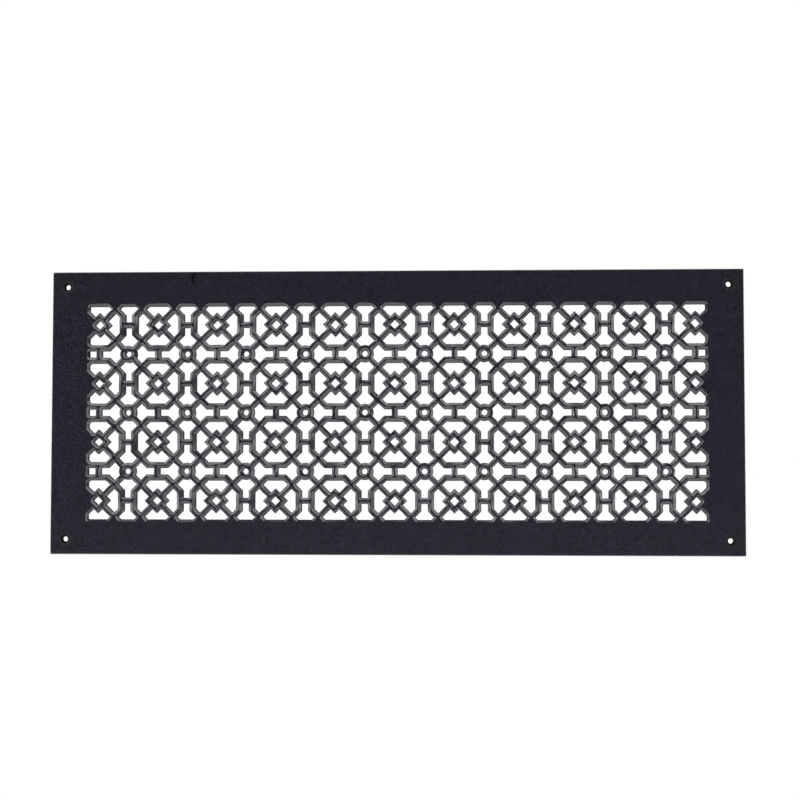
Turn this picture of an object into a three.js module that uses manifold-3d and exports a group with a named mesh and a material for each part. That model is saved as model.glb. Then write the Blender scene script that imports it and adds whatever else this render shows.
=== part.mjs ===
// Return air grille: one cast plate with a flat border round an open lattice.
// X runs along the grille and Z up. The flat back lies in the plane Y = 0 with the origin at its
// centre, and the face looks along -Y. All sizes are in millimetres.

import * as THREE from 'three';
import { mergeVertices } from 'three/addons/utils/BufferGeometryUtils.js';
import Module from 'manifold-3d';

// Plate
const FACE_LENGTH = 603.25;
const FACE_HEIGHT = 247.65;
const THICKNESS = 6.35;
const CORNER_RADIUS = 1.2;
const CORNER_STEPS = 3;

// Opening in the border that the lattice fills, at the back, and how far its edge leans outwards
const FIELD_LENGTH = 538.0;
const FIELD_HEIGHT = 186.8;
const BORDER_LEAN = 2.6;

// Rosettes stand in straight rows, with a round boss in the middle of every four
const COLUMNS = 11;
const ROWS = 4;
const PITCH_X = 52.05;
const PITCH_Z = 51.36;

// Octagon strap round each rosette, measured on the middle line of the strap
const OCTAGON_LENGTH = 41.0;
const OCTAGON_HEIGHT = 40.46;
const OCTAGON_FLAT_X = 16.2;
const OCTAGON_FLAT_Z = 16.0;
const OCTAGON_BAR = 5.35;
const OCTAGON_CORNER_BAR = 5.25;

// Rays run from the rosettes to the bosses, and links tie neighbouring octagons
const RAY_BAR = 4.7;
const LINK_BAR = 4.7;

// Rosette: a square ring standing on its corner, measured from corner to corner
const ROSETTE_ACROSS = 21.8;
const ROSETTE_HOLE_ACROSS = 8.0;

// Boss: a round disc with a small square hole
const BOSS_DIAMETER = 15.2;
const BOSS_HOLE_WIDTH = 4.9;

// An opening that the border covers more than this share of is left solid
const COVERED_SHARE = 0.85;

// Countersunk holes for No. 8 screws
const SCREW_INSET_X = 12.7;
const SCREW_INSET_Z = 13.1;
const SCREW_HOLE_DIAMETER = 4.6;
const COUNTERSINK_DIAMETER = 10.2;
const COUNTERSINK_ANGLE = 82;
const SCREW_HOLE_SIDES = 12;

// Every cutter runs this far past the faces of the plate
const OVERRUN = 1;

// The points of the outlines lie on a grid with this many steps to a millimetre, so that the
// two cutters that meet at a crest have the same points there
const GRID_STEPS = 1024;

// Edges shorter than this are closed up, and points nearer to each other than this are one point
const SHORT_EDGE = 0.02;
const SAME_POINT = 0.001;

const COAT_COLOUR = 0x28272e;
const COAT_ROUGHNESS = 0.5;
const COAT_METALNESS = 0;

const wasm = await Module();
wasm.setup();

const point = (x, z) => new THREE.Vector2(x, z);
const onGrid = (value) => Math.round(value * GRID_STEPS) / GRID_STEPS;

// Makes one point of each group of points that lie together, and leaves out the triangles that
// this closes up.
function welded(geometry) {
  geometry.deleteAttribute('normal');
  geometry.deleteAttribute('uv');
  const merged = mergeVertices(geometry, SAME_POINT);
  const corners = merged.index.array;
  const kept = [];
  for (let k = 0; k < corners.length; k += 3) {
    const [a, b, c] = corners.slice(k, k + 3);
    if (a !== b && b !== c && c !== a) kept.push(a, b, c);
  }
  return merged.setIndex(kept);
}

function solidFrom(geometry) {
  const mesh = welded(geometry);
  return new wasm.Manifold(new wasm.Mesh({
    numProp: 3,
    tolerance: SHORT_EDGE,
    vertProperties: new Float32Array(mesh.attributes.position.array),
    triVerts: new Uint32Array(mesh.index.array),
  }));
}

function geometryFrom(solid) {
  const mesh = solid.getMesh();
  const geometry = new THREE.BufferGeometry();
  geometry.setAttribute('position', new THREE.BufferAttribute(mesh.vertProperties, 3));
  geometry.setIndex(new THREE.BufferAttribute(mesh.triVerts, 1));
  return welded(geometry);
}

// A shape drawn in X and Z is raised from the back plane towards the face.
function standUp(geometry) {
  const position = geometry.attributes.position;
  for (let k = 0; k < position.count; k += 1) {
    position.setXYZ(k, position.getX(k), -position.getZ(k), position.getY(k));
  }
  return geometry;
}

// A cutter with one outline on the back plane and another on the face. It leans on in a straight
// line behind the back, and stands upright in front of the face.
function taperedCutter(backOutline, faceOutline) {
  const heights = [-OVERRUN, 0, THICKNESS, THICKNESS + OVERRUN];
  const outlines = heights.map((height) => backOutline.map((back, index) => {
    const share = Math.min(height / THICKNESS, 1);
    const here = back.clone().lerp(faceOutline[index], share);
    return point(onGrid(here.x), onGrid(here.y));
  }));
  const geometry = new THREE.ExtrudeGeometry(new THREE.Shape(outlines[0]), {
    depth: heights.length - 1,
    steps: heights.length - 1,
    bevelEnabled: false,
  });
  const position = geometry.attributes.position;
  for (let k = 0; k < position.count; k += 1) {
    const here = point(position.getX(k), position.getY(k));
    const index = outlines[0].findIndex((p) => p.distanceTo(here) < 0.5 / GRID_STEPS);
    const level = Math.round(position.getZ(k));
    const there = outlines[level][index];
    position.setXYZ(k, there.x, there.y, heights[level]);
  }
  return solidFrom(standUp(geometry));
}

// Where two lines meet, each given by two of its points.
function meet([a, b], [c, d]) {
  const along = b.clone().sub(a);
  const other = d.clone().sub(c);
  const share = c.clone().sub(a).cross(other) / along.cross(other);
  return a.clone().addScaledVector(along, share);
}

// The line through two points, moved to its left by an amount.
function shifted(a, b, amount) {
  const along = b.clone().sub(a).normalize();
  const left = point(-along.y, along.x).multiplyScalar(amount);
  return [a.clone().add(left), b.clone().add(left)];
}

// The edges of the straps in the first quarter of one rosette, at a share of their full width.
// A share of 1 gives the edges at the back, and a share of 0 the crests at the face.
function strapEdges(share) {
  const centre = point(0, 0);
  const boss = point(PITCH_X / 2, PITCH_Z / 2);
  const flatEnd = point(OCTAGON_FLAT_X / 2, OCTAGON_HEIGHT / 2);
  const sideEnd = point(OCTAGON_LENGTH / 2, OCTAGON_FLAT_Z / 2);
  const barHalf = share * OCTAGON_BAR / 2;
  const cornerHalf = share * OCTAGON_CORNER_BAR / 2;
  const rayHalf = share * RAY_BAR / 2;
  const linkHalf = share * LINK_BAR / 2;
  const ringMiddle = (ROSETTE_ACROSS + ROSETTE_HOLE_ACROSS) / 4;
  const ringHalf = share * (ROSETTE_ACROSS - ROSETTE_HOLE_ACROSS) / 4;
  const bossHoleReach = BOSS_HOLE_WIDTH / Math.SQRT2;
  const bossMiddle = (BOSS_DIAMETER / 2 + bossHoleReach) / 2;
  const bossHalf = share * (BOSS_DIAMETER / 2 - bossHoleReach) / 2;
  const tip = ringMiddle + ringHalf;
  const level = (z) => [point(0, z), point(1, z)];
  const upright = (x) => [point(x, 0), point(x, 1)];
  return {
    share,
    boss,
    bossRadius: bossMiddle + bossHalf,
    bossHoleReach: bossMiddle - bossHalf,
    eyeReach: ringMiddle - ringHalf,
    tipUp: point(0, tip),
    tipRight: point(tip, 0),
    ring: [point(0, tip), point(tip, 0)],
    topInner: level(OCTAGON_HEIGHT / 2 - barHalf),
    topOuter: level(OCTAGON_HEIGHT / 2 + barHalf),
    sideInner: upright(OCTAGON_LENGTH / 2 - barHalf),
    sideOuter: upright(OCTAGON_LENGTH / 2 + barHalf),
    cornerInner: shifted(flatEnd, sideEnd, -cornerHalf),
    cornerOuter: shifted(flatEnd, sideEnd, cornerHalf),
    rayAbove: shifted(centre, boss, rayHalf),
    rayBelow: shifted(centre, boss, -rayHalf),
    linkAcross: level(linkHalf),
    linkUp: upright(linkHalf),
  };
}

const mirrorX = (about) => (p) => point(2 * about - p.x, p.y);
const mirrorZ = (about) => (p) => point(p.x, 2 * about - p.y);

// A whole outline from one half of it. The point with the index onLine lies on the mirror line.
function mirrored(half, mirror, onLine) {
  const other = half.map(mirror).filter((p, index) => index !== onLine);
  return [...half, ...other.reverse()];
}

// The round side of a boss: where the edge of a ray runs into it, and the middle of the side,
// which closes up on the ray towards the crest.
function bossSide(edges, [a, b], outwards) {
  const along = b.clone().sub(a).normalize();
  const nearest = a.clone().addScaledVector(along, edges.boss.clone().sub(a).dot(along));
  const aside = nearest.distanceTo(edges.boss);
  const end = nearest.addScaledVector(along, -Math.sqrt(edges.bossRadius ** 2 - aside ** 2));
  const middle = edges.boss.clone().addScaledVector(outwards, edges.bossRadius);
  return [end, end.clone().lerp(middle, edges.share)];
}

// The outlines of the openings round one rosette, of those round the links to its right and
// above it, and of the hole in its boss, at a share of the straps' full width.
function cellOutlines(share) {
  const e = strapEdges(share);
  const above = mirrored([
    e.tipUp,
    meet(e.ring, e.rayAbove),
    meet(e.rayAbove, e.cornerInner),
    meet(e.cornerInner, e.topInner),
  ], mirrorX(0), 0);
  const right = mirrored([
    e.tipRight,
    meet(e.ring, e.rayBelow),
    meet(e.rayBelow, e.cornerInner),
    meet(e.cornerInner, e.sideInner),
  ], mirrorZ(0), 0);
  const overLink = mirrored([
    meet(e.linkAcross, e.sideOuter),
    meet(e.sideOuter, e.cornerOuter),
    meet(e.cornerOuter, e.rayBelow),
    ...bossSide(e, e.rayBelow, point(0, -1)),
  ], mirrorX(e.boss.x), 4);
  const besideLink = mirrored([
    meet(e.linkUp, e.topOuter),
    meet(e.topOuter, e.cornerOuter),
    meet(e.cornerOuter, e.rayAbove),
    ...bossSide(e, e.rayAbove, point(-1, 0)),
  ], mirrorZ(e.boss.y), 4);
  const eye = [[1, 0], [0, 1], [-1, 0], [0, -1]].map(([x, z]) => (
    point(x, z).multiplyScalar(e.eyeReach)
  ));
  const bossHole = [[1, 1], [-1, 1], [-1, -1], [1, -1]].map(([x, z]) => (
    point(x * e.boss.x, z * e.boss.y).setLength(e.bossHoleReach).add(e.boss)
  ));
  return [
    above,
    above.map(mirrorZ(0)),
    right,
    right.map(mirrorX(0)),
    overLink,
    overLink.map(mirrorZ(0)),
    besideLink,
    besideLink.map(mirrorX(0)),
    eye,
    bossHole,
  ];
}

// Keeps the part of an outline on the side of a straight line where depth is positive.
function clipped(outline, depth) {
  const kept = [];
  outline.forEach((here, index) => {
    const next = outline[(index + 1) % outline.length];
    const inHere = depth(here);
    const inNext = depth(next);
    if (inHere >= 0) kept.push(here);
    if (inHere * inNext < 0) kept.push(here.clone().lerp(next, inHere / (inHere - inNext)));
  });
  return kept;
}

// The share of an opening that the border leaves open.
function openShare(outline) {
  const limitX = FIELD_LENGTH / 2;
  const limitZ = FIELD_HEIGHT / 2;
  const depths = [(p) => limitX - p.x, (p) => limitX + p.x, (p) => limitZ - p.y, (p) => limitZ + p.y];
  const left = depths.reduce(clipped, outline);
  return Math.abs(THREE.ShapeUtils.area(left) / THREE.ShapeUtils.area(outline));
}

// The opening in the border, which the cutters of the lattice stay within.
function fieldSolid() {
  const corners = (lean) => [[-1, -1], [1, -1], [1, 1], [-1, 1]].map(([x, z]) => (
    point(x * (FIELD_LENGTH / 2 + lean), z * (FIELD_HEIGHT / 2 + lean))
  ));
  return taperedCutter(corners(0), corners(BORDER_LEAN));
}

// One cutter for each opening of the lattice.
function latticeCutters() {
  const backCell = cellOutlines(1);
  const crestCell = cellOutlines(0);
  const field = fieldSolid();
  const cutters = [];
  for (let column = -1; column < COLUMNS; column += 1) {
    for (let row = -1; row < ROWS; row += 1) {
      const x = (column - (COLUMNS - 1) / 2) * PITCH_X;
      const z = (row - (ROWS - 1) / 2) * PITCH_Z;
      const placed = (outline) => outline.map((p) => p.clone().add(point(x, z)));
      backCell.forEach((outline, index) => {
        const back = placed(outline);
        if (openShare(back) < 1 - COVERED_SHARE) return;
        cutters.push(taperedCutter(back, placed(crestCell[index])).intersect(field));
      });
    }
  }
  return cutters;
}

// The plate before anything is cut from it.
function plateBlank() {
  const x = FACE_LENGTH / 2 - CORNER_RADIUS;
  const z = FACE_HEIGHT / 2 - CORNER_RADIUS;
  const quarter = Math.PI / 2;
  const outline = new THREE.Shape();
  [[x, z], [-x, z], [-x, -z], [x, -z]].forEach(([cornerX, cornerZ], index) => {
    const turn = index * quarter;
    outline.absarc(cornerX, cornerZ, CORNER_RADIUS, turn, turn + quarter);
  });
  return solidFrom(standUp(new THREE.ExtrudeGeometry(outline, {
    depth: THICKNESS,
    curveSegments: CORNER_STEPS,
    bevelEnabled: false,
  })));
}

// The cutter for one countersunk hole.
function screwCutter() {
  const halfAngle = THREE.MathUtils.degToRad(COUNTERSINK_ANGLE / 2);
  const bore = SCREW_HOLE_DIAMETER / 2;
  const mouth = COUNTERSINK_DIAMETER / 2;
  const cone = (mouth - bore) / Math.tan(halfAngle);
  const profile = [
    point(0, -OVERRUN),
    point(bore, -OVERRUN),
    point(bore, THICKNESS - cone),
    point(mouth, THICKNESS),
    point(mouth, THICKNESS + OVERRUN),
    point(0, THICKNESS + OVERRUN),
  ];
  return solidFrom(new THREE.LatheGeometry(profile, SCREW_HOLE_SIDES).rotateX(Math.PI));
}

function grilleCasting() {
  const x = FACE_LENGTH / 2 - SCREW_INSET_X;
  const z = FACE_HEIGHT / 2 - SCREW_INSET_Z;
  const screwHole = screwCutter();
  const screwCutters = [[x, z], [-x, z], [-x, -z], [x, -z]].map(([holeX, holeZ]) => (
    screwHole.translate([holeX, 0, holeZ])
  ));
  const cutters = [...latticeCutters(), ...screwCutters];
  const cut = cutters.reduce((left, cutter) => left.subtract(cutter), plateBlank());
  const tidied = solidFrom(geometryFrom(cut)).simplify(SHORT_EDGE);
  const geometry = geometryFrom(tidied);
  geometry.computeVertexNormals();
  return geometry;
}

const powderCoat = new THREE.MeshStandardMaterial({
  color: COAT_COLOUR,
  roughness: COAT_ROUGHNESS,
  metalness: COAT_METALNESS,
});

const casting = new THREE.Mesh(grilleCasting(), powderCoat);
casting.name = 'grille_casting';

const grille = new THREE.Group();
grille.add(casting);

export default grille;
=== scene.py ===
"""Return air grille: the finished look of one cast plate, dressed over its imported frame.

X runs along the grille, Z is up and the face looks along -Y, with the flat back in the plane
Y = 0 and the origin at its centre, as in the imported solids. Everything is in metres.
"""

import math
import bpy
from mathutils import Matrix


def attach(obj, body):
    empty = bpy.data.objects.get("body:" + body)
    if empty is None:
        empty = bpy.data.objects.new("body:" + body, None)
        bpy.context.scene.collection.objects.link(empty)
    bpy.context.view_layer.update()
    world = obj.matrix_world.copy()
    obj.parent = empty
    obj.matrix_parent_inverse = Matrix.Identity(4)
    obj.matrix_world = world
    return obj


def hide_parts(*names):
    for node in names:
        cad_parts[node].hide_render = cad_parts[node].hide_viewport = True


bl_info = {
    "name": "Return air grille",
    "version": (1, 0, 0),
    "blender": (4, 5, 0),
    "location": "View3D > Sidebar > Grille",
    "description": "Builds the cast lattice, its powder coat and the studio round it",
    "category": "Object",
}

import bmesh
import bpy
from mathutils import Euler, Matrix, Vector, noise

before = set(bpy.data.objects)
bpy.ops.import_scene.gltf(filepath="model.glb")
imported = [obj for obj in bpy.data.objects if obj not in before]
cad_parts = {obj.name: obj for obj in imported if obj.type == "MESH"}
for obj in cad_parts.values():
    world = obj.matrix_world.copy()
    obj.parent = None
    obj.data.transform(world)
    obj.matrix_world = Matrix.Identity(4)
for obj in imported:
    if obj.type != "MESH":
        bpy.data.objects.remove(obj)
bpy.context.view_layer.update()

MM = 0.001
CASTING_NODE = "grille_casting"
CASTING_PIECE = "lattice_casting"
TOUCHING = 1e-7  # points nearer than this are one point


# Sizes and colours ------------------------------------------------------------------------


def length(name, millimetres, description):
    """A length property whose default is given in millimetres."""
    return bpy.props.FloatProperty(
        name=name,
        description=description,
        default=millimetres * MM,
        min=0.0,
        precision=5,
        unit="LENGTH",
    )


def linear(hex_colour):
    """An sRGB hex value as linear red, green, blue and alpha."""
    levels = [int(hex_colour[k : k + 2], 16) / 255 for k in (1, 3, 5)]
    return [
        level / 12.92 if level <= 0.04045 else ((level + 0.055) / 1.055) ** 2.4
        for level in levels
    ] + [1.0]


def colour(name, hex_colour, description):
    """A colour property whose default is given as an sRGB hex value."""
    return bpy.props.FloatVectorProperty(
        name=name,
        description=description,
        default=linear(hex_colour)[:3],
        size=3,
        min=0.0,
        max=1.0,
        subtype="COLOR",
    )


class CastingSizes(bpy.types.PropertyGroup):
    """Sizes of the cast plate and its lattice."""

    face_length: length("Face length", 603.25, "Length of the plate")
    face_height: length("Face height", 247.65, "Height of the plate")
    thickness: length("Thickness", 6.35, "Thickness from the back to the face")
    corner_radius: length("Corner radius", 1.2, "Rounding of the plate's four corners")
    arris: length("Arris", 0.8, "Rounding of the face's outer edge")
    field_length: length("Field length", 538.0, "Length of the border's opening, at the back")
    field_height: length("Field height", 186.8, "Height of the border's opening, at the back")
    border_lean: length("Border lean", 1.45, "How far the border's ends and foot lean outwards")
    head_lean: length("Head lean", 2.3, "The same along the border's head")
    columns: bpy.props.IntProperty(name="Columns", description="Rosettes in a row", default=11)
    rows: bpy.props.IntProperty(name="Rows", description="Rows of rosettes", default=4)
    pitch_x: length("Pitch across", 52.05, "Spacing of the rosettes across")
    pitch_z: length("Pitch up", 51.36, "Spacing of the rows")
    octagon_length: length("Octagon length", 41.0, "Octagon across, on the strap's middle line")
    octagon_height: length("Octagon height", 40.46, "Octagon up, on the strap's middle line")
    octagon_flat_x: length("Octagon flat across", 16.2, "Length of its level sides")
    octagon_flat_z: length("Octagon flat up", 16.0, "Length of its upright sides")
    octagon_bar: length("Octagon bar", 5.5, "Width of the level and upright straps")
    corner_bar: length("Corner bar", 5.25, "Width of the slanted straps")
    ray_bar: length("Ray bar", 4.9, "Width of the rays from rosette to boss")
    link_bar: length("Link bar", 5.2, "Width of the links between octagons")
    rosette: length("Rosette", 21.8, "Square rosette from corner to corner")
    rosette_hole: length("Rosette hole", 8.0, "Hole in the rosette, from corner to corner")
    boss: length("Boss", 15.2, "Diameter of the round bosses")
    boss_hole: length("Boss hole", 5.0, "Diameter of the hole in a boss, at the back")
    wall: length("Wall", 4.6, "Depth of a strap's steep wall, from the back to its shoulder")
    draft: length("Draft", 0.1, "How far the wall leans in on its way to the shoulder")
    run: length("Flank run", 1.95, "How far a strap's side leans in from the back to its crest")
    octagon_run: length("Octagon run", 2.6, "The same on the octagons' level and upright straps")
    opening_round: length("Opening corners", 0.9, "Rounding where two straps meet")
    land_round: length("Land edges", 0.25, "Rounding of the crests")
    edge_step: length("Edge step", 3.0, "Longest straight stretch along a strap's edge")
    wander: length("Wander", 1.5, "How far the sand mould lets a crest stray sideways")
    sink: length("Sink", 0.28, "How far a crest may fall below the face")
    level_margin: length("Level margin", 6.0, "Strip along the border where no crest falls")
    screw_inset_x: length("Screw inset across", 12.7, "Screw hole from the plate's end")
    screw_inset_z: length("Screw inset up", 13.1, "Screw hole from the top or bottom edge")
    screw_hole: length("Screw hole", 4.6, "Diameter of the through hole")
    countersink: length("Countersink", 10.2, "Diameter of the countersink at the face")
    countersink_angle: bpy.props.FloatProperty(
        name="Countersink angle",
        description="Full angle of the countersink",
        default=math.radians(82),
        subtype="ANGLE",
    )


class CoatLook(bpy.types.PropertyGroup):
    """Look of the powder coat."""

    black: colour("Coat", "#0f0e18", "Colour of the powder coat")
    dusty: colour("Thin coat", "#2b2936", "Colour of the paler specks in the coat")
    roughness: bpy.props.FloatProperty(
        name="Roughness", description="Roughness of the coat", default=0.36, min=0.0, max=1.0
    )
    speck: length("Speck", 1.1, "Size of the specks in the coat")
    peel: length("Orange peel", 2.2, "Size of the ripples that the coat cures with")
    sand: length("Sand", 5.0, "Size of the unevenness left by the sand mould")
    # Painted shade: a near-black colour put into the countersinks, where their hollows lie in
    # shade. It also colours the darker arc of the nick.
    painted_shade_and_nick: colour("Pit", "#010102", "Colour of the coat in the countersinks and the nick")
    nick_place: bpy.props.FloatVectorProperty(
        name="Nick place",
        description="Middle of the arc of the nick in the border",
        default=(-0.1723, -0.00635, 0.1178),
        subtype="TRANSLATION",
        unit="LENGTH",
    )
    nick_radius: length("Nick radius", 5.4, "Radius of the nick's arc")
    nick_width: length("Nick width", 3.4, "Width of the nick")


class StageLook(bpy.types.PropertyGroup):
    """Floor, light and camera."""

    floor_drop: length("Floor drop", 900.0, "Floor below the middle of the grille")
    floor_radius: length("Floor radius", 1500.0, "Radius of the round floor")
    floor_tone: colour("Floor", "#f2f1ef", "Colour of the floor")
    side_light: bpy.props.FloatProperty(
        name="Side light", description="Brightness of the room beside the grille", default=6.4
    )
    back_light: bpy.props.FloatProperty(
        name="Back light", description="Brightness of the room behind the grille", default=0.1
    )
    front_light: bpy.props.FloatProperty(
        name="Front light", description="Brightness of the room before the grille", default=0.02
    )
    lamp_power: bpy.props.FloatProperty(
        name="Lamp power",
        description="Power of the low lamp before the grille",
        default=1.7,
        subtype="POWER",
        unit="POWER",
    )
    lamp_place: bpy.props.FloatVectorProperty(
        name="Lamp place",
        description="Where the low lamp hangs",
        default=(0.0, -0.6, -0.6),
        subtype="TRANSLATION",
        unit="LENGTH",
    )
    camera_place: bpy.props.FloatVectorProperty(
        name="Camera place",
        description="Where the camera stands",
        default=(0.0714, -1.3446, -0.0533),
        subtype="TRANSLATION",
        unit="LENGTH",
    )
    camera_turn: bpy.props.FloatVectorProperty(
        name="Camera turn",
        description="How the camera is turned",
        default=[math.radians(angle) for angle in (92.7337, -0.0509, 2.8461)],
        subtype="EULER",
    )
    lens: bpy.props.FloatProperty(
        name="Lens", description="Focal length on a 36 mm sensor", default=69.48, unit="CAMERA"
    )


# Outlines of the openings at the back -----------------------------------------------------


def meet(line, other):
    """Where two endless lines cross, each given by a point and a direction."""
    (a, along), (b, across) = line, other
    return a + along * ((b - a).cross(across) / along.cross(across))


def shifted(a, b, amount):
    """The line through two points, moved to its left by an amount."""
    along = (b - a).normalized()
    return a + Vector((-along.y, along.x)) * amount, along


def both_halves(half, mirror):
    """A closed outline from one half of it. The other half runs back in mirror image."""
    whole = list(half)
    for p in reversed(half):
        q = mirror(p)
        if all((q - seen).length > TOUCHING for seen in (half[0], half[-1])):
            whole.append(q)
    return whole


def boss_side(centre, radius, line, outwards, steps=5):
    """Half of one round side of a boss, from the edge of a ray to the middle of the side."""
    a, along = line
    nearest = a + along * (centre - a).dot(along)
    end = nearest - along * math.sqrt(radius**2 - (nearest - centre).length_squared)
    turn = -(end - centre).angle_signed(outwards)
    return [
        centre + Matrix.Rotation(turn * k / steps, 2) @ (end - centre)
        if k < steps
        else centre + outwards * radius
        for k in range(steps + 1)
    ]


def cell_outlines(s, hole_points=16):
    """Outlines of the openings round one rosette, round the links above it and to its right,
    and of the hole in the boss between them. Those that come twice are given once, with the
    axis that the second is mirrored across."""
    centre = Vector((0, 0))
    boss = Vector((s.pitch_x, s.pitch_z)) / 2
    flat_end = Vector((s.octagon_flat_x, s.octagon_height)) / 2
    side_end = Vector((s.octagon_length, s.octagon_flat_z)) / 2
    tip = s.rosette / 2
    ring = shifted(Vector((0, tip)), Vector((tip, 0)), 0)
    level, upright = Vector((1, 0)), Vector((0, 1))
    top_inner = (Vector((0, (s.octagon_height - s.octagon_bar) / 2)), level)
    top_outer = (Vector((0, (s.octagon_height + s.octagon_bar) / 2)), level)
    side_inner = (Vector(((s.octagon_length - s.octagon_bar) / 2, 0)), upright)
    side_outer = (Vector(((s.octagon_length + s.octagon_bar) / 2, 0)), upright)
    corner_inner = shifted(flat_end, side_end, -s.corner_bar / 2)
    corner_outer = shifted(flat_end, side_end, s.corner_bar / 2)
    ray_above = shifted(centre, boss, s.ray_bar / 2)
    ray_below = shifted(centre, boss, -s.ray_bar / 2)
    link_across = (Vector((0, s.link_bar / 2)), level)
    link_up = (Vector((s.link_bar / 2, 0)), upright)
    eye = s.rosette_hole / 2
    hole_edge = Vector((s.boss_hole / 2, 0))
    hole = [
        boss + Matrix.Rotation(math.tau * (k + 0.5) / hole_points, 2) @ hole_edge
        for k in range(hole_points)
    ]

    def across(about):
        return lambda p: Vector((2 * about - p.x, p.y))

    def over(about):
        return lambda p: Vector((p.x, 2 * about - p.y))

    above = [
        Vector((0, tip)),
        meet(ring, ray_above),
        meet(ray_above, corner_inner),
        meet(corner_inner, top_inner),
    ]
    right = [
        Vector((tip, 0)),
        meet(ring, ray_below),
        meet(ray_below, corner_inner),
        meet(corner_inner, side_inner),
    ]
    over_link = [
        meet(link_across, side_outer),
        meet(side_outer, corner_outer),
        meet(corner_outer, ray_below),
        *boss_side(boss, s.boss / 2, ray_below, Vector((0, -1))),
    ]
    beside_link = [
        meet(link_up, top_outer),
        meet(top_outer, corner_outer),
        meet(corner_outer, ray_above),
        *boss_side(boss, s.boss / 2, ray_above, Vector((-1, 0))),
    ]
    return [
        (both_halves(above, across(0)), "Z"),
        (both_halves(right, over(0)), "X"),
        (both_halves(over_link, across(boss.x)), "Z"),
        (both_halves(beside_link, over(boss.y)), "X"),
        ([Vector((eye, 0)), Vector((0, eye)), Vector((-eye, 0)), Vector((0, -eye))], None),
        (hole, None),
    ]


# Casting ----------------------------------------------------------------------------------


def sign(value):
    """One, with the sign of a value."""
    return math.copysign(1.0, value)


def points_of(geom):
    """The points in what a bmesh operator gives back."""
    return [part for part in geom if isinstance(part, bmesh.types.BMVert)]


def drop_loose_points(bm):
    """Deletes the points that no face holds."""
    bmesh.ops.delete(bm, geom=[v for v in bm.verts if not v.link_faces], context="VERTS")


def screw_centre(x, y, z, s):
    """Centre of the screw hole in the quarter of the plate where x and z lie, at a depth y."""
    return Vector(
        (
            sign(x) * (s.face_length / 2 - s.screw_inset_x),
            y,
            sign(z) * (s.face_height / 2 - s.screw_inset_z),
        )
    )


def add_cell(bm, s):
    """Faces of the openings of one cell, drawn on the back plane."""
    for outline, twin in cell_outlines(s):
        face = bm.faces.new([bm.verts.new((p.x, 0, p.y)) for p in outline])
        if twin is None:
            continue
        copy = bmesh.ops.duplicate(bm, geom=[face])["geom"]
        mirror = Vector((-1, 1, 1)) if twin == "X" else Vector((1, 1, -1))
        bmesh.ops.scale(bm, vec=mirror, verts=points_of(copy))


def repeat_cell(bm, s):
    """One cell copied to every place where one can reach into the border's opening."""
    cell = bm.faces[:]
    for column in range(-1, s.columns):
        for row in range(-1, s.rows):
            place = Vector(
                (
                    (column - (s.columns - 1) / 2) * s.pitch_x,
                    0,
                    (row - (s.rows - 1) / 2) * s.pitch_z,
                )
            )
            copy = bmesh.ops.duplicate(bm, geom=cell)["geom"]
            bmesh.ops.translate(bm, vec=place, verts=points_of(copy))
    bmesh.ops.delete(bm, geom=cell, context="FACES")
    drop_loose_points(bm)


def clip_to_border(bm, s, covered_share=0.85):
    """Cuts the openings off at the border, and drops those that it all but covers."""
    whole = bm.faces.layers.float.new("whole")
    for face in bm.faces:
        face[whole] = face.calc_area()
    limits = ((s.field_length / 2, Vector((1, 0, 0))), (s.field_height / 2, Vector((0, 0, 1))))
    for limit, outwards in limits:
        for side in (outwards, -outwards):
            bmesh.ops.bisect_plane(
                bm,
                geom=bm.verts[:] + bm.edges[:] + bm.faces[:],
                dist=TOUCHING,
                plane_co=side * limit,
                plane_no=side,
                clear_outer=True,
            )
    small = [f for f in bm.faces if f.calc_area() < (1 - covered_share) * f[whole]]
    bmesh.ops.delete(bm, geom=small, context="FACES")
    drop_loose_points(bm)
    bm.faces.layers.float.remove(whole)


def round_corners(bm, radius, arc_turn=math.radians(25)):
    """Rounds the corners of the openings, but not the points of their arcs, nor the corners of
    metal that stick out into them, which the flanks' lean would turn inside out."""
    corners = [
        loop.vert
        for face in bm.faces
        for loop in face.loops
        if loop.is_convex and loop.vert.calc_edge_angle() > arc_turn
    ]
    bmesh.ops.bevel(
        bm,
        geom=corners,
        offset=radius,
        offset_type="OFFSET",
        segments=2,
        profile=0.5,
        affect="VERTICES",
        clamp_overlap=True,
        material=-1,
    )


def shorten_edges(bm, step):
    """Cuts every edge that is longer than a step into even stretches."""
    by_cuts = {}
    for edge in bm.edges:
        cuts = math.ceil(edge.calc_length() / step) - 1
        if cuts > 0:
            by_cuts.setdefault(cuts, []).append(edge)
    for cuts, group in by_cuts.items():
        bmesh.ops.bisect_edges(bm, edges=group, cuts=cuts)


def add_plate_outline(bm, s):
    """The plate's rounded rectangle and the circles of its screw holes."""
    corners = [
        bm.verts.new((x * s.face_length / 2, 0, z * s.face_height / 2))
        for x, z in ((-1, -1), (1, -1), (1, 1), (-1, 1))
    ]
    plate = bm.faces.new(corners)
    bmesh.ops.bevel(
        bm,
        geom=corners,
        offset=s.corner_radius,
        offset_type="OFFSET",
        segments=5,
        profile=0.5,
        affect="VERTICES",
        material=-1,
    )
    for x in (-1, 1):
        for z in (-1, 1):
            place = Matrix.Translation(screw_centre(x, 0, z, s))
            bmesh.ops.create_circle(
                bm,
                cap_ends=True,
                segments=32,
                radius=s.screw_hole / 2,
                matrix=place @ Matrix.Rotation(math.pi / 2, 4, "X"),
            )


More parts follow.
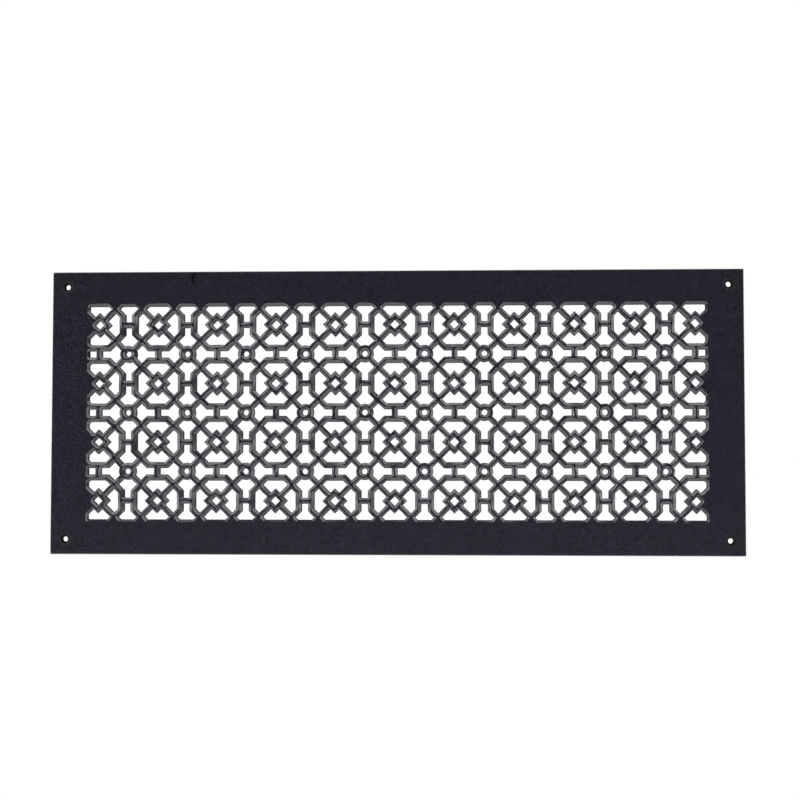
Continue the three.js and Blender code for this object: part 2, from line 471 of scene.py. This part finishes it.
def fill_between(bm, outlines, askew=math.radians(17.3)):
    """Fills the plate between outlines. The fill slips where points lie level with each other,
    so it works on the plate turned askew, and at a thousand times its size, because it joins
    points that are less than some hundredths of a unit apart."""
    turned = Matrix.Rotation(askew, 4, "Y") @ Matrix.Scale(1 / MM, 4)
    bmesh.ops.transform(bm, matrix=turned, verts=bm.verts[:])
    filled = bmesh.ops.triangle_fill(
        bm, use_beauty=True, use_dissolve=False, edges=outlines, normal=(0, 1, 0)
    )
    bmesh.ops.transform(bm, matrix=turned.inverted(), verts=bm.verts[:])
    return [f for f in filled["geom"] if isinstance(f, bmesh.types.BMFace)]


def raise_plate(bm, s):
    """Raises the filled plate from the back to the face, and insets the face for its lands,
    which it gives back."""
    bmesh.ops.delete(bm, geom=bm.faces[:], context="FACES_ONLY")
    back = fill_between(bm, bm.edges[:])
    raised = bmesh.ops.extrude_face_region(bm, geom=back, use_keep_orig=True)["geom"]
    bmesh.ops.translate(bm, vec=(0, -s.thickness, 0), verts=points_of(raised))
    bmesh.ops.recalc_face_normals(bm, faces=bm.faces[:])
    lands = [f for f in bm.faces if all(v.co.y < -s.thickness / 2 for v in f.verts)]
    bmesh.ops.inset_region(bm, faces=lands, use_even_offset=True, thickness=s.run, depth=0.0)
    return lands


def refill_lands(bm, lands):
    """Fills the lands anew between their outlines, which the flanks' shaping has moved."""
    inner = set(lands)
    outlines = [e for e in bm.edges if sum(f in inner for f in e.link_faces) == 1]
    bmesh.ops.delete(bm, geom=lands, context="FACES")
    fill_between(bm, outlines)
    bmesh.ops.recalc_face_normals(bm, faces=bm.faces[:])


def run_of(wall, s, square_on=0.99):
    """How far a wall of an opening leans in: more on an octagon's level and upright straps,
    which lie further out from its rosette than a third of its size, than elsewhere."""
    centre = wall.calc_center_median()
    column = centre.x / s.pitch_x - (s.columns - 1) / 2
    row = centre.z / s.pitch_z - (s.rows - 1) / 2
    x = abs(column - round(column)) * s.pitch_x
    z = abs(row - round(row)) * s.pitch_z
    level = abs(wall.normal.z) > square_on and x < s.octagon_flat_x / 2
    upright = abs(wall.normal.x) > square_on and z < s.octagon_flat_z / 2
    far_up, far_across = z > s.octagon_height / 3, x > s.octagon_length / 3
    return s.octagon_run if level and far_up or upright and far_across else s.run


def land_point(mid, back, at_face):
    """The point that the inset left on the land beside the face's end of an upright edge."""
    beside = (edge.other_vert(mid) for edge in mid.link_edges)
    return next(v for v in beside if v not in at_face and v is not back)


def upright_edges(bm, s):
    """For each edge of the plate from the back to the face: its points at the back and the
    face, the point on the land beside it, the way in that its walls lean, for each metre that
    they do, and how far they do."""
    found = []
    for edge in bm.edges:
        mid, back = sorted(edge.verts, key=lambda v: v.co.y)
        if back.co.y - mid.co.y > s.thickness / 2:
            one, other = (face.normal.copy() for face in edge.link_faces)
            run = (run_of(edge.link_faces[0], s) + run_of(edge.link_faces[1], s)) / 2
            found.append((back, mid, -(one + other) / (1 + one.dot(other)), run))
    at_face = {mid for _, mid, _, _ in found}
    return [
        (back, mid, land_point(mid, back, at_face), inwards, run)
        for back, mid, inwards, run in found
    ]


# How the crests stray. A stray has the size over which it changes, and a seed. The mould's seed
# makes every run alike, because Blender's noise is seeded from the clock without one.
MOULD_SEED = 1
SLOW_STRAY = (14 * MM, 3.1)
QUICK_STRAY = (5 * MM, 8.3)
QUICK_SHARE = 0.2  # of the wander
SHARE_AT_BORDER = 0.3  # of the slow stray
SLUMP_SIZE = 20 * MM


def stray(place, size, seed):
    """A smooth pseudo-random shift along the plate that changes over a size."""
    shift = noise.noise_vector(place / size + Vector((seed, 2.7 * seed, -seed)))
    return shift * Vector((1, 0, 1))


def shape_flanks(bm, s, outer_inset=0.75):
    """Shapes every wall and flank, sinks the countersinks, and lets the crests stray as they do
    in a sand casting. The face's outer edge is inset by a share of the corner radius."""
    noise.seed_set(MOULD_SEED)
    cone = (s.countersink - s.screw_hole) / 2 / math.tan(s.countersink_angle / 2)
    half_x, half_z = s.field_length / 2, s.field_height / 2
    for back, mid, land, inwards, run in upright_edges(bm, s):
        x, z = mid.co.x, mid.co.z
        hole = screw_centre(x, -s.thickness, z, s)
        if (mid.co - hole).length < s.screw_hole:
            outwards = (mid.co - hole).normalized()
            land.co = hole + outwards * s.countersink / 2
            mid.co.y = cone - s.thickness
            continue
        if abs(x) > half_x + s.head_lean or abs(z) > half_z + s.head_lean:
            land.co = mid.co + inwards.normalized() * s.corner_radius * outer_inset
            continue
        land.co = mid.co + inwards * run
        mid.co = back.co + inwards * s.draft - Vector((0, s.wall, 0))
        at_end = abs(abs(x) - half_x) < 10 * TOUCHING
        at_side = abs(abs(z) - half_z) < 10 * TOUCHING
        limit_x = half_x + s.border_lean
        limit_z = half_z + (s.head_lean if z > 0 else s.border_lean)
        if at_end:
            land.co.x = sign(x) * limit_x
            mid.co.x = sign(x) * (half_x + s.draft)
        if at_side:
            land.co.z = sign(z) * limit_z
            mid.co.z = sign(z) * (half_z + s.draft)
        land.co.x = min(max(land.co.x, -limit_x), limit_x)
        land.co.z = min(max(land.co.z, -limit_z), limit_z)
        inside = min(half_x - abs(x), half_z - abs(z)) / s.level_margin - 1
        freedom = min(max(inside, 0), 1)
        slow_share = SHARE_AT_BORDER + (1 - SHARE_AT_BORDER) * freedom
        slow = stray(land.co, *SLOW_STRAY) * s.wander * slow_share
        quick = stray(land.co, *QUICK_STRAY) * s.wander * QUICK_SHARE
        slump = 0.5 + 0.5 * noise.noise(land.co / SLUMP_SIZE)
        mid.co += quick
        land.co += slow + quick
        land.co.y += slump * s.sink * freedom


def face_edges(bm, s, outer, sharp=math.radians(25), sink_room=1.5):
    """Sharp edges at the face: the plate's outer arris, or those of the lands and the holes.
    The face reaches down to somewhat more than the crests sink."""
    limit_x = s.face_length / 2 - s.corner_radius
    limit_z = s.face_height / 2 - s.corner_radius
    at_face = s.sink * sink_room - s.thickness
    return [
        edge
        for edge in bm.edges
        if edge.is_manifold
        and edge.calc_face_angle() > sharp
        and all(v.co.y < at_face for v in edge.verts)
        and outer == any(abs(v.co.x) > limit_x or abs(v.co.z) > limit_z for v in edge.verts)
    ]


def soften_edges(bm, s):
    """Rounds the edges of the lands and the countersinks, and the outer arris."""
    for outer, radius, segments in ((False, s.land_round, 2), (True, s.arris, 3)):
        bmesh.ops.bevel(
            bm,
            geom=face_edges(bm, s, outer),
            offset=radius,
            offset_type="OFFSET",
            segments=segments,
            profile=0.5,
            affect="EDGES",
            clamp_overlap=True,
            material=-1,
        )


def casting_mesh(s, crease=math.radians(35)):
    """The mesh of the whole casting. It is shaded smooth, but for edges that bend by more than
    a crease."""
    bm = bmesh.new()
    add_cell(bm, s)
    repeat_cell(bm, s)
    clip_to_border(bm, s)
    round_corners(bm, s.opening_round)
    shorten_edges(bm, s.edge_step)
    add_plate_outline(bm, s)
    lands = raise_plate(bm, s)
    shape_flanks(bm, s)
    refill_lands(bm, lands)
    soften_edges(bm, s)
    bmesh.ops.recalc_face_normals(bm, faces=bm.faces[:])
    for face in bm.faces:
        face.smooth = True
    for edge in bm.edges:
        edge.smooth = edge.calc_face_angle(0.0) < crease
    open_edges = sum(not e.is_manifold for e in bm.edges)
    if open_edges:
        raise RuntimeError(f"the casting has {open_edges} open edges")
    mesh = bpy.data.meshes.new(CASTING_PIECE)
    bm.to_mesh(mesh)
    bm.free()
    return mesh


# Powder coat ------------------------------------------------------------------------------

SPECKS_FROM, SPECKS_TO = 0.47, 0.75  # noise levels where a speck begins and is palest
UNEVEN_GLOSS = 0.07  # how far the sand's unevenness moves the roughness up and down
RIM_FADE = 0.3 * MM  # how far the painted shade of a countersink fades out past its rim


def add_node(tree, kind, settings=None, inputs=None):
    """Adds a node. Inputs are values, or sockets of other nodes to link from."""
    node = tree.nodes.new(kind)
    for name, value in (settings or {}).items():
        setattr(node, name, value)
    for name, value in (inputs or {}).items():
        if isinstance(value, bpy.types.NodeSocket):
            tree.links.new(value, node.inputs[name])
        else:
            node.inputs[name].default_value = value
    return node


def distance_to(tree, place, centre):
    """How far a place lies from a point."""
    return add_node(
        tree,
        "ShaderNodeVectorMath",
        {"operation": "DISTANCE"},
        {0: place, 1: centre},
    ).outputs["Value"]


def falling(tree, value, start, end):
    """One up to a start, falling to nothing at an end."""
    return add_node(
        tree,
        "ShaderNodeMapRange",
        inputs={"Value": value, "From Min": start, "From Max": end, "To Min": 1.0, "To Max": 0.0},
    ).outputs["Result"]


def in_countersink(tree, place, s):
    """One in the four countersinks, and nothing elsewhere. All lie in one quarter once the
    signs are taken off."""
    quarter = add_node(
        tree, "ShaderNodeVectorMath", {"operation": "ABSOLUTE"}, {0: place}
    ).outputs["Vector"]
    hole = screw_centre(1, s.thickness, 1, s)
    radius = s.countersink / 2
    return falling(tree, distance_to(tree, quarter, hole), radius, radius + RIM_FADE)


def in_nick(tree, place, look):
    """One in the nick of the border, which is the left side of an arc."""
    offset = add_node(
        tree,
        "ShaderNodeMath",
        {"operation": "SUBTRACT"},
        {0: distance_to(tree, place, look.nick_place), 1: look.nick_radius},
    )
    aside = add_node(
        tree, "ShaderNodeMath", {"operation": "ABSOLUTE"}, {0: offset.outputs["Value"]}
    )
    on_arc = falling(tree, aside.outputs["Value"], look.nick_width / 4, look.nick_width / 2)
    x = add_node(tree, "ShaderNodeSeparateXYZ", inputs={"Vector": place}).outputs["X"]
    middle = look.nick_place[0]
    on_left = falling(tree, x, middle - look.nick_radius / 2, middle - look.nick_radius / 4)
    return add_node(
        tree, "ShaderNodeMath", {"operation": "MULTIPLY"}, {0: on_arc, 1: on_left}
    ).outputs["Value"]


def coat_grain(tree, place, look):
    """The heights of the coat's three grains, and the normal that their bumps make together.
    The mould's sand has grains of some 0.3 mm, too fine to show in the render, so the specks are
    drawn coarser than that."""
    heights, normal = {}, {}
    # name, size, detail and roughness of its noise, strength and depth of its bump
    for name, size, detail, roughness, strength, depth in (
        ("sand", look.sand, 3.0, 0.55, 0.35, 0.25 * MM),
        ("peel", look.peel, 2.0, 0.5, 0.35, 0.12 * MM),
        ("speck", look.speck, 2.0, 0.6, 0.3, 0.06 * MM),
    ):
        pattern = {"Scale": 1 / size, "Detail": detail, "Roughness": roughness}
        grain = add_node(tree, "ShaderNodeTexNoise", inputs={"Vector": place, **pattern})
        heights[name] = grain.outputs["Fac"]
        bump = {"Height": heights[name], "Strength": strength, "Distance": depth}
        bumped = add_node(tree, "ShaderNodeBump", inputs={**bump, **normal})
        normal = {"Normal": bumped.outputs["Normal"]}
    return heights, normal["Normal"]


def powder_coat(look, s):
    """Black powder coat over a sand casting: a polyester powder that is sprayed on dry and melts
    in the oven. It gives a satin black with a blue cast, fine ripples, pale specks where it lies
    thin on the sand's grain, and soft highlights along the edges. The countersinks get painted
    shade, near black and matt, in place of the shade in these hollows; the nick's arc is near
    black."""
    material = bpy.data.materials.new("black_powder_coat_on_sand_casting")
    material.use_nodes = True
    tree = material.node_tree
    tree.nodes.clear()
    place = add_node(tree, "ShaderNodeTexCoord").outputs["Object"]
    heights, normal = coat_grain(tree, place, look)
    pale = add_node(
        tree,
        "ShaderNodeMapRange",
        inputs={"Value": heights["speck"], "From Min": SPECKS_FROM, "From Max": SPECKS_TO},
    )
    tone = add_node(
        tree,
        "ShaderNodeMix",
        {"data_type": "RGBA"},
        {
            "Factor": pale.outputs["Result"],
            "A": [*look.black, 1.0],
            "B": [*look.dusty, 1.0],
        },
    )
    # Painted shade in the countersinks, and the near-black arc of the nick, mixed into the coat's
    # colour
    sunk = in_countersink(tree, place, s)
    shade_and_nick_mask = add_node(
        tree,
        "ShaderNodeMath",
        {"operation": "MAXIMUM"},
        {0: sunk, 1: in_nick(tree, place, look)},
    )
    tone_with_shade_and_nick = add_node(
        tree,
        "ShaderNodeMix",
        {"data_type": "RGBA"},
        {
            "Factor": shade_and_nick_mask.outputs["Value"],
            "A": tone.outputs["Result"],
            "B": [*look.painted_shade_and_nick, 1.0],
        },
    )
    gloss = add_node(
        tree,
        "ShaderNodeMapRange",
        inputs={
            "Value": heights["sand"],
            "To Min": look.roughness - UNEVEN_GLOSS,
            "To Max": look.roughness + UNEVEN_GLOSS,
        },
    )
    # The countersinks are also made matt, which dims them along with their painted shade
    gloss_matt_in_countersinks = add_node(
        tree,
        "ShaderNodeMapRange",
        inputs={"Value": sunk, "To Min": gloss.outputs["Result"], "To Max": 1.0},
    )
    shader = add_node(
        tree,
        "ShaderNodeBsdfPrincipled",
        inputs={
            "Base Color": tone_with_shade_and_nick.outputs["Result"],
            "Roughness": gloss_matt_in_countersinks.outputs["Result"],
            "Metallic": 0.0,
            "IOR": 1.5,
            "Normal": normal,
        },
    )
    add_node(tree, "ShaderNodeOutputMaterial", inputs={"Surface": shader.outputs["BSDF"]})
    return material


# Operators --------------------------------------------------------------------------------


class GRILLE_OT_casting(bpy.types.Operator):
    """Build the cast lattice and border with their powder coat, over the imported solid"""

    bl_idname = "grille.casting"
    bl_label = "Casting"

    def execute(self, context):
        scene = context.scene
        mesh = casting_mesh(scene.casting_sizes)
        mesh.materials.append(powder_coat(scene.coat_look, scene.casting_sizes))
        piece = bpy.data.objects.new(CASTING_PIECE, mesh)
        scene.collection.objects.link(piece)
        normals = piece.modifiers.new("even_normals", "WEIGHTED_NORMAL")
        normals.keep_sharp = True
        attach(piece, "root")
        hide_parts(CASTING_NODE)
        return {"FINISHED"}


def pale_floor(look):
    """A round floor below the grille."""
    bm = bmesh.new()
    bmesh.ops.create_circle(
        bm,
        cap_ends=True,
        segments=96,
        radius=look.floor_radius,
        matrix=Matrix.Translation((0, 0, -look.floor_drop)),
    )
    mesh = bpy.data.meshes.new("floor")
    bm.to_mesh(mesh)
    bm.free()
    material = bpy.data.materials.new("matt_studio_paint")
    material.use_nodes = True
    shader = material.node_tree.nodes["Principled BSDF"]
    shader.inputs["Base Color"].default_value = [*look.floor_tone, 1.0]
    shader.inputs["Roughness"].default_value = 0.9
    mesh.materials.append(material)
    return bpy.data.objects.new("floor", mesh)


def studio_light(world, look, below=1.3, above=1.05):
    """Soft light from all round: bright beside the grille, dim before and behind it, a little
    stronger from below than from above, and plain white where the camera looks past it."""
    world.use_nodes = True
    tree = world.node_tree
    tree.nodes.clear()
    direction = add_node(tree, "ShaderNodeTexCoord").outputs["Generated"]
    parts = add_node(tree, "ShaderNodeSeparateXYZ", inputs={"Vector": direction})
    place = add_node(
        tree, "ShaderNodeMapRange", inputs={"Value": parts.outputs["Y"], "From Min": -1.0}
    )
    level = add_node(tree, "ShaderNodeValToRGB", inputs={"Fac": place.outputs["Result"]})
    # from straight before the grille, at nothing, to straight behind it, at one
    steps = (
        (0.25, look.front_light),
        (0.34, look.side_light),
        (0.56, look.side_light),
        (0.7, look.back_light),
        (1.0, look.back_light),
    )
    stops = level.color_ramp.elements
    while len(stops) < len(steps):
        stops.new(0.5)
    for stop, (at, strength) in zip(stops, steps):
        stop.position = at
        stop.color = (strength, strength, strength, 1.0)
    by_height = add_node(
        tree,
        "ShaderNodeMapRange",
        inputs={"Value": parts.outputs["Z"], "From Min": -1.0, "To Min": below, "To Max": above},
    )
    around = add_node(
        tree,
        "ShaderNodeBackground",
        inputs={"Color": level.outputs["Color"], "Strength": by_height.outputs["Result"]},
    )
    seen = add_node(tree, "ShaderNodeBackground", inputs={"Color": [1.0, 1.0, 1.0, 1.0]})
    path = add_node(tree, "ShaderNodeLightPath")
    mixed = add_node(tree, "ShaderNodeMixShader", inputs={"Fac": path.outputs["Is Camera Ray"]})
    tree.links.new(around.outputs["Background"], mixed.inputs[1])
    tree.links.new(seen.outputs["Background"], mixed.inputs[2])
    add_node(tree, "ShaderNodeOutputWorld", inputs={"Surface": mixed.outputs["Shader"]})


def low_lamp(look):
    """A soft lamp low down before the grille, which makes the face paler towards its foot."""
    lamp = bpy.data.lights.new("low_lamp", "AREA")
    lamp.shape = "RECTANGLE"
    lamp.size = 1.2
    lamp.size_y = 0.4
    lamp.energy = look.lamp_power
    holder = bpy.data.objects.new("low_lamp", lamp)
    holder.location = look.lamp_place
    holder.rotation_euler = (-Vector(look.lamp_place)).to_track_quat("-Z", "Y").to_euler()
    holder.visible_camera = False
    return holder


class GRILLE_OT_stage(bpy.types.Operator):
    """Set up the pale floor, the soft studio light and the camera"""

    bl_idname = "grille.stage"
    bl_label = "Stage"

    def execute(self, context):
        scene = context.scene
        look = scene.stage_look
        floor = pale_floor(look)
        scene.collection.objects.link(floor)
        scene.world = bpy.data.worlds.new("studio")
        studio_light(scene.world, look)
        scene.collection.objects.link(low_lamp(look))
        scene.view_settings.view_transform = "Standard"
        camera = bpy.data.objects.new("camera", bpy.data.cameras.new("camera"))
        camera.data.lens = look.lens
        camera.location = look.camera_place
        camera.rotation_euler = Euler(look.camera_turn)
        scene.collection.objects.link(camera)
        scene.camera = camera
        return {"FINISHED"}


class GRILLE_PT_panel(bpy.types.Panel):
    """Lists the steps and their sizes in the 3D view's sidebar."""

    bl_idname = "GRILLE_PT_panel"
    bl_label = "Return air grille"
    bl_space_type = "VIEW_3D"
    bl_region_type = "UI"
    bl_category = "Grille"

    def draw(self, context):
        scene = context.scene
        steps = (
            (GRILLE_OT_casting, (scene.casting_sizes, scene.coat_look)),
            (GRILLE_OT_stage, (scene.stage_look,)),
        )
        for step, groups in steps:
            box = self.layout.box()
            box.operator(step.bl_idname)
            for group in groups:
                for name in type(group).__annotations__:
                    box.prop(group, name)


GROUPS = {
    "casting_sizes": CastingSizes,
    "coat_look": CoatLook,
    "stage_look": StageLook,
}
OPERATORS = (GRILLE_OT_stage, GRILLE_OT_casting)


def register():
    for group in GROUPS.values():
        bpy.utils.register_class(group)
    for name, group in GROUPS.items():
        setattr(bpy.types.Scene, name, bpy.props.PointerProperty(type=group))
    for operator in OPERATORS:
        bpy.utils.register_class(operator)
    bpy.utils.register_class(GRILLE_PT_panel)


def unregister():
    bpy.utils.unregister_class(GRILLE_PT_panel)
    for operator in reversed(OPERATORS):
        bpy.utils.unregister_class(operator)
    for name in GROUPS:
        delattr(bpy.types.Scene, name)
    for group in reversed(GROUPS.values()):
        bpy.utils.unregister_class(group)


def main():
    register()
    bpy.ops.grille.stage()
    bpy.ops.grille.casting()


if __name__ == "__main__":
    main()
